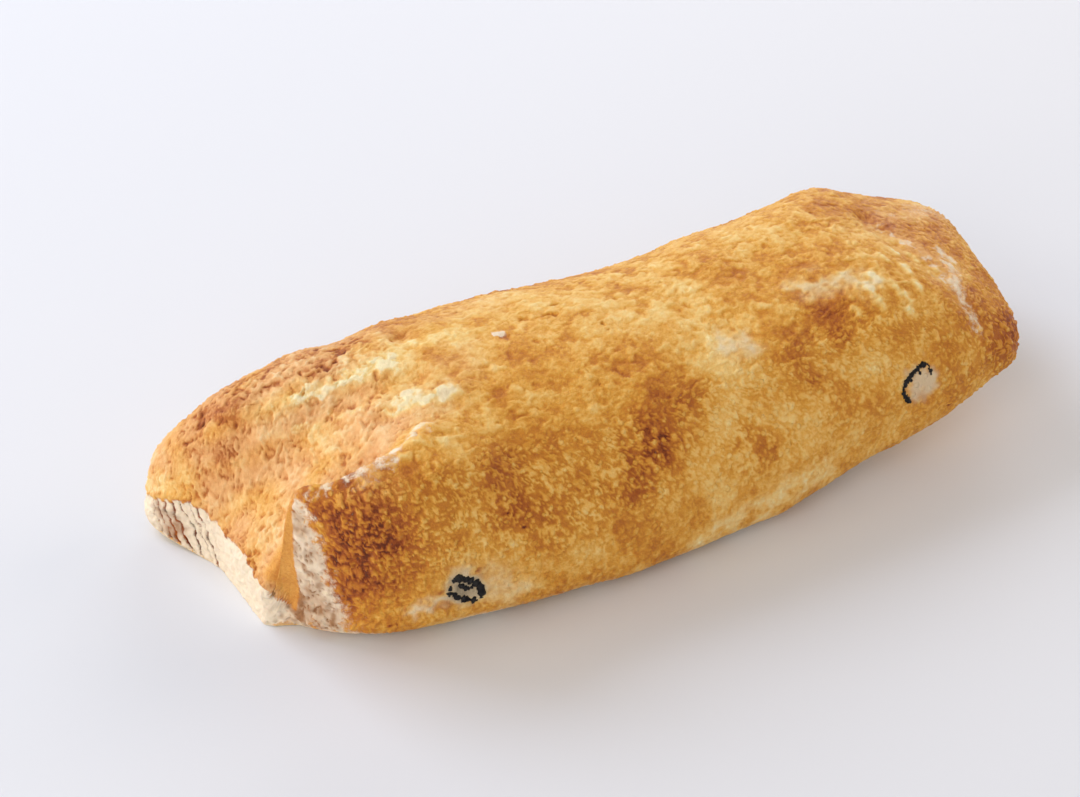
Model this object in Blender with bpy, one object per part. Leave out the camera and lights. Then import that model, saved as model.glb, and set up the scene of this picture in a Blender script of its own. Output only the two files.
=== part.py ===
"""Olive ciabatta, whole.

A long flat-based loaf cut from a floured sheet of dough. One end is cut: its top crust is
pinched down to a low floured lip, except at the near corner, which stays up as a square post.
The other end is folded down in a soft slope. Two rings of black olive show in the long side.

Everything below is in millimetres until the meshes are written, in metres. X runs along the
loaf with the cut end at -X, Y across it with the side that shows the olives at -Y, and Z up
from the table. The origin is the middle of the loaf's outline on the table.
"""
import math

import bmesh
import bpy
import numpy as np
from mathutils import Matrix, Vector, noise

MM = 0.001

# Driving dimensions of the loaf: its half widths, height and the lift of its underside off
# the table, at stations along it from the cut end to the folded end
SECTIONS = np.array([
    # x     front  back  crown  lift
    [-118,  31,    42,   52,    0],
    [-108,  42,    42,   54,    0],
    [-92,   51,    41,   57,    0],
    [-60,   57,    43,   60,    0],
    [-20,   59,    43,   60,    0],
    [20,    57,    39,   59,    0],
    [55,    53,    41,   60,    4],
    [85,    51,    43,   60,    10],
    [109,   49,    41,   52,    17],
    [134,   46,    42,   41,    24],
], dtype=float)
STATION, FRONT, BACK, CROWN, LIFT = range(5)
CUT_END = SECTIONS[0, STATION]
FOLDED_END = SECTIONS[-1, STATION]
HALF_LENGTH = (FOLDED_END - CUT_END) / 2
MID_LENGTH = (FOLDED_END + CUT_END) / 2
WIDEST_LEVEL = 0.33         # the sides are widest at this share of the height
SETTLED = 0.6               # the underside is pressed flat by this much

# How square the section's corners are, as the power of a superellipse
ROUND_SHOULDER = 2.3        # front shoulder, along the middle
SQUARE_POST = 8.0           # front shoulder, at the cut end
FOLDED_SHOULDER = 3.0       # front shoulder, at the folded end
BACK_SHOULDER = 2.6
CUT_BACK = 3.0              # back shoulder, at the cut end
FOLDED_BACK = 3.0
BASE_EDGE = 5.0
FOLDED_BASE_EDGE = 4.0
CUT_REACH = 70.0            # how far in from each end its own corners reach
FOLDED_REACH = 50.0

# The two ends
CUT_ROUNDING = 5.0          # radius of the edge between side and end face, at the cut end
FOLDED_ROUNDING = 9.0
SECTION_RADIUS = 40.0       # mean radius that these roundings are set against
PINCH_REACH = 58.0          # how far in from the cut end the crust starts to fall
PINCH_NEAR, PINCH_BACK = 2.2, 7.0   # how steeply it falls, beside the post and at the back
PINCH_TURN = (-5.0, 35.0)   # the places across, between which one becomes the other
POST = np.array([           # width of the corner that stays up, and of the ridge behind it
    # inward from the end, width
    [0,   3.5],
    [10,  7],
    [20,  11.5],
    [32,  16.5],
    [50,  24],
    [70,  30],
], dtype=float)
POST_WALL = 4.5             # width of the steep wall behind it
WALL_FLARE = 0.35           # what the wall gains, for each step inward
POST_SET_BACK = 2.5         # the post's face stands this far in from its foot
SET_BACK_RUN = (3.0, 14.0)  # and goes in between these heights
LIP = np.array([            # height of the cut lip across the end, from front to back
    # y    lip
    [-32,  4],
    [-28,  4],
    [-24,  11],
    [-15,  13.5],
    [-7,   16],
    [4,    15],
    [16,   18],
    [26,   16],
    [36,   12],
    [44,   11],
], dtype=float)
TONGUE = 6.0                # the lip stands this much further out than the post
TONGUE_RUN = (-28.0, -21.0)             # and comes out between these places across
BACK_CORNER = 11.0          # the back corner stands out this much further again
BACK_CORNER_RUN = (5.0, 36.0)
OUTWARD_REACH = 50.0        # how far in from the end both are felt
BACK_CORNER_LIFT = 3.0      # the underside rises this much under the back corner
LIFT_RUN = (10.0, 40.0)
LIFT_REACH = 35.0
FOLDED_SKEW = 0.20          # what the folded end gains in length for each step to the back
SKEW_REACH = 40.0

# Relief of the crust, wider than the facets: lumps from gas under the skin, folds and swells
LUMPS = ((34.0, 1.1), (13.0, 0.45))     # size and height of each set
CREASE_WIDTH = 3.5
SIDE_HEIGHT, TOP_HEIGHT = 13.0, 26.0    # folds and swells fade in between these
FOOT_HEIGHT = 6.0           # all relief fades out below this height
FOLDS = (                   # height of the fold (a groove is negative), then its run in plan
    (1.1, ((-114, 20), (-95, 9), (-74, 0))),
    (1.1, ((-108, 10), (-94, -2), (-79, -10))),
    (1.0, ((-84, -11), (-72, -15), (-58, -18))),
    (-1.0, ((-104, 16), (-84, 2), (-66, -6))),
    (1.0, ((-116, -28), (-105, -33), (-95, -38), (-85, -36), (-73, -30))),
    (-1.3, ((98, 8), (99, -13), (103, -23), (105, -31), (108, -42))),
)
SWELLS = (                  # x, y, radius and height of swells in the top; a hollow's is negative
    (-131, 41, 8.0, 2.2),
    (-120, 27, 4.0, -1.2),
    (-119, 36, 8.0, -0.9),
    (-88, 29, 7.0, 1.0),
    (-74, 31, 8.0, -1.6),
    (-60, 14, 4.0, -1.6),
    (-10, 26, 9.0, -0.6),
    (30, 24, 12.0, -0.6),
    (95, 30, 11.0, 2.8),
    (132, 34, 14.0, -3.0),
)

# Facets along, across and up the loaf, closer together towards the ends
FACETS = (58, 24, 12)
END_CROWDING = 0.35

# Olive rings set in the front side
GAP = 0.3
RIM_SIDES = 10
STEP_ANGLE = 12.0           # a ring has a point each so many degrees
LEFT_OLIVE = dict(at=(-75.7, 17.7), outward=(-0.12, -0.99, 0.0), radius=4.5, squash=0.76, rim=1.5)
RIGHT_OLIVE = dict(at=(81.8, 33.4), outward=(0.06, -0.98, 0.16), radius=5.3, rim=1.4,
                   arc=(48, 252))
OLIVE_PROUD = 0.5           # how far a ring's rim stands out of the crust
LOOK_FROM = -100.0          # a place well in front of the loaf, to look for its crust from

# Middle of the outline on the table, taken as the origin
ORIGIN_X, ORIGIN_Y = 1.7, -7.8

CRUST = (0.60, 0.32, 0.09, 1.0)
OLIVE_BLACK = (0.020, 0.019, 0.024, 1.0)


def ramp(low, high, value):
    """Smooth step from 0 at low to 1 at high; low may be the larger."""
    t = np.clip((value - low) / (high - low), 0.0, 1.0)
    return t * t * (3 - 2 * t)


def mix(a, b, share):
    return a + (b - a) * share


def through(table, column, at):
    """Smooth curve through one column of a table whose first column is the place."""
    places, values = table[:, 0], table[:, column]
    at = np.clip(at, places[0], places[-1])
    slopes = np.gradient(values, places)
    i = np.clip(np.searchsorted(places, at) - 1, 0, len(places) - 2)
    span = places[i + 1] - places[i]
    t = (at - places[i]) / span
    from_last = (1 + 2 * t) * (1 - t) ** 2 * values[i] + t * (1 - t) ** 2 * span * slopes[i]
    to_next = t * t * (3 - 2 * t) * values[i + 1] + t * t * (t - 1) * span * slopes[i + 1]
    return from_last + to_next


def rounded_ends(along, out):
    """Round the edge where a cube's side meets its end: (share of length, share of section)."""
    rounding = np.where(along < 0, CUT_ROUNDING, FOLDED_ROUNDING)
    length, reach = np.abs(along) * HALF_LENGTH, out * SECTION_RADIUS
    inner_length = np.minimum(length, HALF_LENGTH - rounding)
    inner_reach = np.minimum(reach, SECTION_RADIUS - rounding)
    past_length, past_reach = length - inner_length, reach - inner_reach
    square = np.maximum(np.maximum(past_length, past_reach), 1e-9)
    pull = square / np.maximum(np.hypot(past_length, past_reach), 1e-9)
    x = MID_LENGTH + np.sign(along) * (inner_length + past_length * pull)
    return x, (inner_reach + past_reach * pull) / SECTION_RADIUS


def loaf_form(cube):
    """Where each point of a cube from -1 to 1 goes on the loaf, without its relief."""
    along, across, up = cube.T
    along = along + END_CROWDING * np.sin(np.pi * along) / np.pi
    out = np.maximum(np.abs(across), np.abs(up))
    safe = np.maximum(out, 1e-9)
    across, up = across / safe, np.where(out > 1e-9, up / safe, 1.0)
    x, out = rounded_ends(along, out)

    to_cut = ramp(CUT_REACH, 0.0, x - CUT_END)
    to_fold = ramp(FOLDED_REACH, 0.0, FOLDED_END - x)
    front_power = mix(mix(ROUND_SHOULDER, SQUARE_POST, to_cut), FOLDED_SHOULDER, to_fold)
    back_power = mix(mix(BACK_SHOULDER, CUT_BACK, to_cut), FOLDED_BACK, to_fold)
    base_power = mix(BASE_EDGE, FOLDED_BASE_EDGE, to_fold)
    power = np.where(up > 0, np.where(across < 0, front_power, back_power), base_power)
    size = (np.abs(across) ** power + np.abs(up) ** power) ** (1 / power)
    side, height = across / size * out, up / size * out

    front = through(SECTIONS, FRONT, x)
    y = np.where(side < 0, front, through(SECTIONS, BACK, x)) * side
    inward = x - CUT_END
    post = through(POST, 1, inward)
    behind_post = ramp(post, post + POST_WALL + WALL_FLARE * inward, y + front)
    steepness = mix(PINCH_NEAR, PINCH_BACK, ramp(*PINCH_TURN, y))
    pinch = np.clip(1 - inward / PINCH_REACH, 0, 1) ** steepness * behind_post
    top = mix(through(SECTIONS, CROWN, x), through(LIP, 1, y), pinch)
    corner_lift = BACK_CORNER_LIFT * ramp(*LIFT_RUN, y) * ramp(LIFT_REACH, 0.0, inward)
    base = through(SECTIONS, LIFT, x) + corner_lift
    middle = mix(base, top, WIDEST_LEVEL)
    z = middle + np.where(height > 0, top - middle, middle - base) * height

    set_back = POST_SET_BACK * ramp(*SET_BACK_RUN, z)
    outward = mix(-set_back, TONGUE, ramp(*TONGUE_RUN, y))
    outward = outward + BACK_CORNER * ramp(*BACK_CORNER_RUN, y)
    x = x - outward * ramp(OUTWARD_REACH, 0.0, inward)
    x = x + FOLDED_SKEW * y * ramp(SKEW_REACH, 0.0, FOLDED_END - x)
    return np.stack([x, y, z - SETTLED], axis=-1)


def distance_to_run(x, y, run):
    """Distance in plan from (x, y) to a run of straight pieces."""
    best = math.inf
    for (ax, ay), (bx, by) in zip(run, run[1:]):
        dx, dy = bx - ax, by - ay
        t = ((x - ax) * dx + (y - ay) * dy) / (dx * dx + dy * dy)
        t = min(max(t, 0.0), 1.0)
        best = min(best, math.hypot(x - ax - t * dx, y - ay - t * dy))
    return best


def relief(x, y, z):
    """Height of the crust's lumps, folds and swells at a point of the plain form."""
    place = Vector((x, y, z))
    height = sum(depth * noise.noise(place / size) for size, depth in LUMPS)
    on_top = min(max((z - SIDE_HEIGHT) / (TOP_HEIGHT - SIDE_HEIGHT), 0.0), 1.0)
    for rise, run in FOLDS:
        height += on_top * rise * math.exp(-(distance_to_run(x, y, run) / CREASE_WIDTH) ** 2)
    for swell_x, swell_y, radius, rise in SWELLS:
        gone = (x - swell_x) ** 2 + (y - swell_y) ** 2
        height += on_top * rise * math.exp(-gone / radius ** 2)
    return height * min(max(z / FOOT_HEIGHT, 0.0), 1.0)


def material(name, colour, roughness):
    made = bpy.data.materials.new(name)
    made.use_nodes = True
    shader = made.node_tree.nodes["Principled BSDF"]
    shader.inputs["Base Color"].default_value = colour
    shader.inputs["Roughness"].default_value = roughness
    shader.inputs["Metallic"].default_value = 0.0
    return made


def add_mesh(name, bm, collection):
    mesh = bpy.data.meshes.new(name)
    bm.to_mesh(mesh)
    bm.free()
    made = bpy.data.objects.new(name, mesh)
    collection.objects.link(made)
    return made


def subdivided_cube(facets):
    """A cube from -1 to 1 with its own number of facets along each axis."""
    bm = bmesh.new()
    bmesh.ops.create_cube(bm, size=2)
    for axis, count in enumerate(facets):
        edges = []
        for edge in bm.edges:
            run = edge.verts[1].co - edge.verts[0].co
            if abs(run[axis]) > 0.5 * run.length:
                edges.append(edge)
        bmesh.ops.subdivide_edges(bm, edges=edges, cuts=count - 1, use_grid_fill=True)
    return bm


def make_loaf(collection):
    bm = subdivided_cube(FACETS)
    placed = loaf_form(np.array([vert.co for vert in bm.verts]))
    for vert, place in zip(bm.verts, placed):
        vert.co = place
    bm.normal_update()
    moves = [vert.normal * relief(*vert.co) for vert in bm.verts]
    for vert, move in zip(bm.verts, moves):
        vert.co += move
        vert.co.z = max(vert.co.z, 0.0)
    for vert in bm.verts:
        vert.co = (vert.co - Vector((ORIGIN_X, ORIGIN_Y, 0))) * MM
    loaf = add_mesh("loaf", bm, collection)
    loaf.data.shade_smooth()
    loaf.data.materials.append(material("baked crust", CRUST, 0.75))
    return loaf


def face_outward(outward):
    """Turn that stands a flat ring's upward axis along outward, with its own Y kept up."""
    facing = Vector(outward).normalized()
    across = Vector((0, 0, 1)).cross(facing).normalized()
    return Matrix((across, facing.cross(across), facing)).transposed().to_4x4()


def crust_point(loaf, at):
    """The point of the front crust at a place (x, z), where a ray from outside meets it."""
    start = Vector((at[0] - ORIGIN_X, LOOK_FROM, at[1])) * MM
    found, place, _, _ = loaf.ray_cast(start, Vector((0, 1, 0)))
    assert found, "the olive lies past the loaf"
    return place


def ring_tube(name, spec, grow, collection):
    """A ring, or the arc of one, of round section; grow makes it larger all over."""
    first, last = spec.get("arc", (0, 360))
    closed = last - first >= 360
    steps = round((last - first) / STEP_ANGLE)
    margin = 0 if closed else math.degrees(grow / spec["radius"])
    curve = bpy.data.curves.new(name, "CURVE")
    curve.dimensions = "3D"
    spline = curve.splines.new("POLY")
    spline.points.add(steps - 1 if closed else steps)
    for number, point in enumerate(spline.points):
        turn = math.radians(mix(first - margin, last + margin, number / steps))
        point.co = (spec["radius"] * math.cos(turn) * MM,
                    spec["radius"] * spec.get("squash", 1.0) * math.sin(turn) * MM, 0, 1)
    spline.use_cyclic_u = closed
    curve.bevel_depth = (spec["rim"] + grow) * MM
    curve.bevel_resolution = (RIM_SIDES - 4) // 2
    curve.use_fill_caps = not closed
    swept = bpy.data.objects.new(name, curve)
    collection.objects.link(swept)
    shape = bpy.data.meshes.new_from_object(swept.evaluated_get(
        bpy.context.evaluated_depsgraph_get()))
    bpy.data.objects.remove(swept)
    bm = bmesh.new()
    bm.from_mesh(shape)
    bpy.data.meshes.remove(shape)
    bmesh.ops.remove_doubles(bm, verts=bm.verts, dist=0.00001)
    return add_mesh(name, bm, collection)


def set_olive(name, spec, loaf, finish, parts, cutters):
    """Set one ring in the crust, in a groove that clears it all round."""
    outward = Vector(spec["outward"]).normalized()
    sunk = (spec["rim"] - OLIVE_PROUD) * MM
    place = Matrix.Translation(crust_point(loaf, spec["at"]) - outward * sunk)
    ring = ring_tube(name, spec, 0.0, parts)
    groove = ring_tube(name + "_groove", spec, GAP, cutters)
    for made in (ring, groove):
        made.matrix_world = place @ face_outward(outward)
    ring.data.shade_smooth()
    ring.data.materials.append(finish)
    groove.hide_render = True
    groove.display_type = "WIRE"
    cut = loaf.modifiers.new(name + " groove", "BOOLEAN")
    cut.operation = "DIFFERENCE"
    cut.object = groove


for old in list(bpy.data.objects):
    bpy.data.objects.remove(old)
ciabatta = bpy.data.collections.new("ciabatta")
grooves = bpy.data.collections.new("grooves")
for group in (ciabatta, grooves):
    bpy.context.scene.collection.children.link(group)

the_loaf = make_loaf(ciabatta)
bpy.context.view_layer.update()
olive_skin = material("black olive", OLIVE_BLACK, 0.35)
set_olive("olive_left", LEFT_OLIVE, the_loaf, olive_skin, ciabatta, grooves)
set_olive("olive_right", RIGHT_OLIVE, the_loaf, olive_skin, ciabatta, grooves)
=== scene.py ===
"""Olive ciabatta on a pale table: the looks of the whole loaf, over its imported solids.

The loaf is worked out in millimetres, in its maker's frame: X runs along it with the cut end at
-X, Y across it with the side that shows the olives at -Y, and Z up from the table. ORIGIN is
taken off, and the millimetres become metres, when a mesh is written.
"""
import math

import bmesh
import bpy
import numpy as np
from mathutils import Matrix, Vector, noise


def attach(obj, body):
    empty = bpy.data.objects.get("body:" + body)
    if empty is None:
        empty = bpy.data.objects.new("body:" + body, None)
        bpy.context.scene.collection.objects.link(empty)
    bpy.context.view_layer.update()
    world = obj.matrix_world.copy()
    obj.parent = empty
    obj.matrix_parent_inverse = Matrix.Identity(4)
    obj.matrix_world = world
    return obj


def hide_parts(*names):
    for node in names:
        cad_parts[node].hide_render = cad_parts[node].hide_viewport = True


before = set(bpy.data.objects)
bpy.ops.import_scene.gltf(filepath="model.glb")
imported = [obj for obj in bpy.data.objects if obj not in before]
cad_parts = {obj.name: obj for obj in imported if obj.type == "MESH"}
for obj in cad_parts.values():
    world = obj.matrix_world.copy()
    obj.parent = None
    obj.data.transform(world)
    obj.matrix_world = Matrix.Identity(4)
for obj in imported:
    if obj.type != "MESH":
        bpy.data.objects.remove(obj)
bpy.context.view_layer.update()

MM = 0.001
ORIGIN = np.array([1.7, -7.8, 0.0])

# Camera
# A long lens a metre away, off the loaf's near left corner and well above it. Its place comes
# from laying the loaf's outline on the photograph.
AZIMUTH, ELEVATION = math.radians(-30.0), math.radians(35.0)
DISTANCE = 1.0
LENS = 110.0
SENSOR_WIDTH, FURTHEST_SEEN = 36.0, 20.0
MIDDLE = Vector((-1.7, 7.8, 28.0)) * MM        # the place in the loaf that it stands off from
BESIDE, BELOW = 0.0184, 0.0032                 # the frame's middle: how far left of it, and below

back = Vector((math.sin(AZIMUTH) * math.cos(ELEVATION),
               -math.cos(AZIMUTH) * math.cos(ELEVATION), math.sin(ELEVATION)))
rightward = Vector((math.cos(AZIMUTH), math.sin(AZIMUTH), 0.0))
aim = MIDDLE - BESIDE * rightward - BELOW * back.cross(rightward)
camera = bpy.data.objects.new("camera", bpy.data.cameras.new("camera"))
camera.data.lens = LENS
camera.data.sensor_width = SENSOR_WIDTH
camera.data.clip_end = FURTHEST_SEEN
camera.location = MIDDLE + DISTANCE * back
camera.rotation_euler = (aim - camera.location).to_track_quat("-Z", "Y").to_euler()
bpy.context.scene.collection.objects.link(camera)
bpy.context.scene.camera = camera
bpy.context.scene.view_settings.view_transform = "Standard"


# Table
# A sheet of white laminate, matt, in soft light: most of it from a window behind and to the
# left, the rest from the pale walls of the room.
TABLE_SIZE, TABLE_SQUARES, TABLE_SUNK = 6.0, 8, 0.0001
# its stipple, in bumps to a metre and metres high: coarser than the real one, so that it shows
TABLE_STIPPLE, STIPPLE_HEIGHT = 900.0, 0.00001
LAMP_SIZE, LAMP_DISTANCE = 1.2, 2.0
LAMPS = (
    # towards the lamp, power in watts, colour
    ("window", (-0.35, 0.72, 0.60), 24.0, "#eef3ff"),
    ("far wall", (0.55, 0.72, 0.30), 10.5, "#f8f6f4"),
    ("near wall", (-0.70, -0.55, 0.45), 14.0, "#fff5e8"),
    ("right wall", (0.90, -0.10, 0.40), 13.0, "#ffe4cc"),
    ("left wall", (-0.85, 0.25, 0.30), 11.0, "#ffecd4"),
)
ROOM_COLOUR, ROOM_BRIGHTNESS = "#faf7f2", 0.38
LAMINATE_WHITE, LAMINATE_ROUGHNESS = "#e3e8f2", 0.6


def linear(hex_colour):
    """A colour given as #rrggbb, as the linear red, green, blue and alpha of a shader."""
    shares = [int(hex_colour[place:place + 2], 16) / 255 for place in (1, 3, 5)]
    return tuple(v / 12.92 if v <= 0.04045 else ((v + 0.055) / 1.055) ** 2.4
                 for v in shares) + (1.0,)


def add_node(tree, kind, inputs=(), **settings):
    """Add a shader node: its settings, and its inputs as values or as other nodes' outputs."""
    made = tree.nodes.new(kind)
    for name, value in settings.items():
        setattr(made, name, value)
    for socket, value in dict(inputs).items():
        if isinstance(value, bpy.types.NodeSocket):
            tree.links.new(value, made.inputs[socket])
        else:
            made.inputs[socket].default_value = value
    return made


def new_material(name):
    """A material with its nodes cleared, and the shader and output that it ends in."""
    made = bpy.data.materials.new(name)
    made.use_nodes = True
    tree = made.node_tree
    tree.nodes.clear()
    shader = add_node(tree, "ShaderNodeBsdfPrincipled")
    add_node(tree, "ShaderNodeOutputMaterial", {"Surface": shader.outputs["BSDF"]})
    return made, tree, shader


def white_laminate():
    """Melamine laminate, pressed matt: an even white with a very soft sheen."""
    made, tree, shader = new_material("white laminate")
    places = add_node(tree, "ShaderNodeTexCoord").outputs["Object"]
    stipple = add_node(tree, "ShaderNodeTexNoise", {"Vector": places, "Scale": TABLE_STIPPLE})
    dent = add_node(tree, "ShaderNodeBump", {"Height": stipple.outputs["Fac"],
                                             "Distance": STIPPLE_HEIGHT, "Strength": 0.3})
    tree.links.new(dent.outputs["Normal"], shader.inputs["Normal"])
    shader.inputs["Base Color"].default_value = linear(LAMINATE_WHITE)
    shader.inputs["Roughness"].default_value = LAMINATE_ROUGHNESS
    return made


bpy.ops.mesh.primitive_grid_add(x_subdivisions=TABLE_SQUARES, y_subdivisions=TABLE_SQUARES,
                                size=TABLE_SIZE, location=(0, 0, -TABLE_SUNK))
table = bpy.context.object
table.name = "table"
table.data.materials.append(white_laminate())

for name, towards, power, colour in LAMPS:
    lamp = bpy.data.objects.new(name, bpy.data.lights.new(name, "AREA"))
    lamp.data.size = LAMP_SIZE
    lamp.data.energy = power
    lamp.data.color = linear(colour)[:3]
    lamp.location = LAMP_DISTANCE * Vector(towards).normalized()
    lamp.rotation_euler = (-lamp.location).to_track_quat("-Z", "Y").to_euler()
    lamp.visible_camera = False
    bpy.context.scene.collection.objects.link(lamp)

room = bpy.data.worlds.new("room")
room.use_nodes = True
room.node_tree.nodes["Background"].inputs["Color"].default_value = linear(ROOM_COLOUR)
room.node_tree.nodes["Background"].inputs["Strength"].default_value = ROOM_BRIGHTNESS
bpy.context.scene.world = room


# Loaf
# One piece of wet wheat dough cut from a floured sheet, set on the stone with its flat side down.
# Its cut end was pinched shut, so that its top skin falls to a low white lip beside one square
# corner that stayed up, and its other end was folded down.
SECTIONS = np.array([
    # x     front  back  crown  lift
    [-118,  31,    42,   52,    0],
    [-108,  42,    42,   54,    0],
    [-92,   51,    41,   57,    0],
    [-60,   57,    43,   60,    0],
    [-20,   59,    43,   60,    0],
    [20,    57,    39,   59,    0],
    [55,    53,    41,   60,    4],
    [85,    51,    43,   60,    10],
    [109,   49,    41,   52,    17],
    [134,   46,    42,   41,    24],
], dtype=float)
STATION, FRONT, BACK, CROWN, LIFT = range(5)
CUT_END = SECTIONS[0, STATION]
FOLDED_END = SECTIONS[-1, STATION]
HALF_LENGTH = (FOLDED_END - CUT_END) / 2
MID_LENGTH = (FOLDED_END + CUT_END) / 2
WIDEST_LEVEL = 0.33         # as a share of the height
SETTLED = 0.6               # how much of the base is pressed flat by the table
# how square the corners of a section are: 2 is an ellipse, and more is squarer
ROUND_SHOULDER, SQUARE_POST, FOLDED_SHOULDER = 2.3, 8.0, 3.0
BACK_SHOULDER, CUT_BACK, FOLDED_BACK = 2.6, 3.0, 3.0
BASE_EDGE, FOLDED_BASE_EDGE = 5.0, 4.0
CUT_REACH, FOLDED_REACH = 70.0, 50.0
CUT_ROUNDING, FOLDED_ROUNDING, SECTION_RADIUS = 5.0, 9.0, 40.0
# the pinched slope down to the lip: it starts at its reach, and falls late by its steepness
PINCH_REACH, PINCH_NEAR, PINCH_BACK = 58.0, 2.2, 7.0
PINCH_TURN = (-5.0, 35.0)
# the square corner post, and the wall between it and the slope
POST = np.array([
    # inward from the end, width
    [0,   3.5],
    [10,  7],
    [20,  11.5],
    [32,  16.5],
    [50,  24],
    [70,  30],
], dtype=float)
POST_WALL, WALL_FLARE = 4.5, 0.35
POST_SET_BACK, SET_BACK_RUN = 2.5, (3.0, 14.0)
LIP = np.array([
    # y    height
    [-32,  4],
    [-28,  4],
    [-24,  11],
    [-15,  13.5],
    [-7,   16],
    [4,    15],
    [16,   18],
    [26,   16],
    [36,   12],
    [44,   11],
], dtype=float)
# how far the lip, and the corner behind it, stand out past the post, and over what run
TONGUE, TONGUE_RUN = 6.0, (-28.0, -21.0)
BACK_CORNER, BACK_CORNER_RUN, OUTWARD_REACH = 11.0, (5.0, 36.0), 50.0
BACK_CORNER_LIFT, LIFT_RUN, LIFT_REACH = 3.0, (10.0, 40.0), 35.0
FOLDED_SKEW, SKEW_REACH = 0.20, 40.0
END_CROWDING = 0.35         # how much closer the facets lie towards the ends
FACETS = (500, 176, 104)    # the skin's facets are about 0.55 mm wide


def ramp(low, high, value):
    """Smooth step from 0 at low to 1 at high; low may be the larger."""
    t = np.clip((value - low) / (high - low), 0.0, 1.0)
    return t * t * (3 - 2 * t)


def mix(a, b, share):
    return a + (b - a) * share


def through(table, column, at):
    """Smooth curve through one column of a table whose first column is the place."""
    places, values = table[:, 0], table[:, column]
    at = np.clip(at, places[0], places[-1])
    slopes = np.gradient(values, places)
    i = np.clip(np.searchsorted(places, at) - 1, 0, len(places) - 2)
    span = places[i + 1] - places[i]
    t = (at - places[i]) / span
    from_last = (1 + 2 * t) * (1 - t) ** 2 * values[i] + t * (1 - t) ** 2 * span * slopes[i]
    to_next = t * t * (3 - 2 * t) * values[i + 1] + t * t * (t - 1) * span * slopes[i + 1]
    return from_last + to_next


def rounded_ends(along, out):
    """Round the edge where a cube's side meets its end: (share of length, share of section)."""
    rounding = np.where(along < 0, CUT_ROUNDING, FOLDED_ROUNDING)
    length, reach = np.abs(along) * HALF_LENGTH, out * SECTION_RADIUS
    inner_length = np.minimum(length, HALF_LENGTH - rounding)
    inner_reach = np.minimum(reach, SECTION_RADIUS - rounding)
    past_length, past_reach = length - inner_length, reach - inner_reach
    square = np.maximum(np.maximum(past_length, past_reach), 1e-9)
    pull = square / np.maximum(np.hypot(past_length, past_reach), 1e-9)
    x = MID_LENGTH + np.sign(along) * (inner_length + past_length * pull)
    return x, (inner_reach + past_reach * pull) / SECTION_RADIUS


def loaf_form(cube):
    """Where each point of a cube from -1 to 1 goes on the loaf, without its relief."""
    along, across, up = cube.T
    along = along + END_CROWDING * np.sin(np.pi * along) / np.pi
    out = np.maximum(np.abs(across), np.abs(up))
    safe = np.maximum(out, 1e-9)
    across, up = across / safe, np.where(out > 1e-9, up / safe, 1.0)
    x, out = rounded_ends(along, out)

    to_cut = ramp(CUT_REACH, 0.0, x - CUT_END)
    to_fold = ramp(FOLDED_REACH, 0.0, FOLDED_END - x)
    front_power = mix(mix(ROUND_SHOULDER, SQUARE_POST, to_cut), FOLDED_SHOULDER, to_fold)
    back_power = mix(mix(BACK_SHOULDER, CUT_BACK, to_cut), FOLDED_BACK, to_fold)
    base_power = mix(BASE_EDGE, FOLDED_BASE_EDGE, to_fold)
    power = np.where(up > 0, np.where(across < 0, front_power, back_power), base_power)
    size = (np.abs(across) ** power + np.abs(up) ** power) ** (1 / power)
    side, height = across / size * out, up / size * out

    front = through(SECTIONS, FRONT, x)
    y = np.where(side < 0, front, through(SECTIONS, BACK, x)) * side
    inward = x - CUT_END
    post = through(POST, 1, inward)
    behind_post = ramp(post, post + POST_WALL + WALL_FLARE * inward, y + front)
    steepness = mix(PINCH_NEAR, PINCH_BACK, ramp(*PINCH_TURN, y))
    pinch = np.clip(1 - inward / PINCH_REACH, 0, 1) ** steepness * behind_post
    top = mix(through(SECTIONS, CROWN, x), through(LIP, 1, y), pinch)
    corner_lift = BACK_CORNER_LIFT * ramp(*LIFT_RUN, y) * ramp(LIFT_REACH, 0.0, inward)
    base = through(SECTIONS, LIFT, x) + corner_lift
    middle = mix(base, top, WIDEST_LEVEL)
    z = middle + np.where(height > 0, top - middle, middle - base) * height

    set_back = POST_SET_BACK * ramp(*SET_BACK_RUN, z)
    outward = mix(-set_back, TONGUE, ramp(*TONGUE_RUN, y))
    outward = outward + BACK_CORNER * ramp(*BACK_CORNER_RUN, y)
    x = x - outward * ramp(OUTWARD_REACH, 0.0, inward)
    x = x + FOLDED_SKEW * y * ramp(SKEW_REACH, 0.0, FOLDED_END - x)
    return np.stack([x, y, z - SETTLED], axis=-1)


def subdivided_cube(facets):
    """A cube from -1 to 1 with its own number of facets along each axis."""
    bm = bmesh.new()
    bmesh.ops.create_cube(bm, size=2)
    for axis, count in enumerate(facets):
        edges = []
        for edge in bm.edges:
            run = edge.verts[1].co - edge.verts[0].co
            if abs(run[axis]) > 0.5 * run.length:
                edges.append(edge)
        bmesh.ops.subdivide_edges(bm, edges=edges, cuts=count - 1, use_grid_fill=True)
    return bm


def places_of(mesh):
    """Each vertex's place, as rows of an array."""
    flat = np.empty(len(mesh.vertices) * 3, np.float32)
    mesh.vertices.foreach_get("co", flat)
    return flat.reshape(-1, 3).astype(float)


def move_to(mesh, places):
    mesh.vertices.foreach_set("co", places.astype(np.float32).ravel())
    mesh.update()


def normals_of(mesh):
    """Each vertex's outward direction, as rows of an array."""
    flat = np.empty(len(mesh.vertices) * 3, np.float32)
    mesh.vertex_normals.foreach_get("vector", flat)
    return flat.reshape(-1, 3).astype(float)


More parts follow.
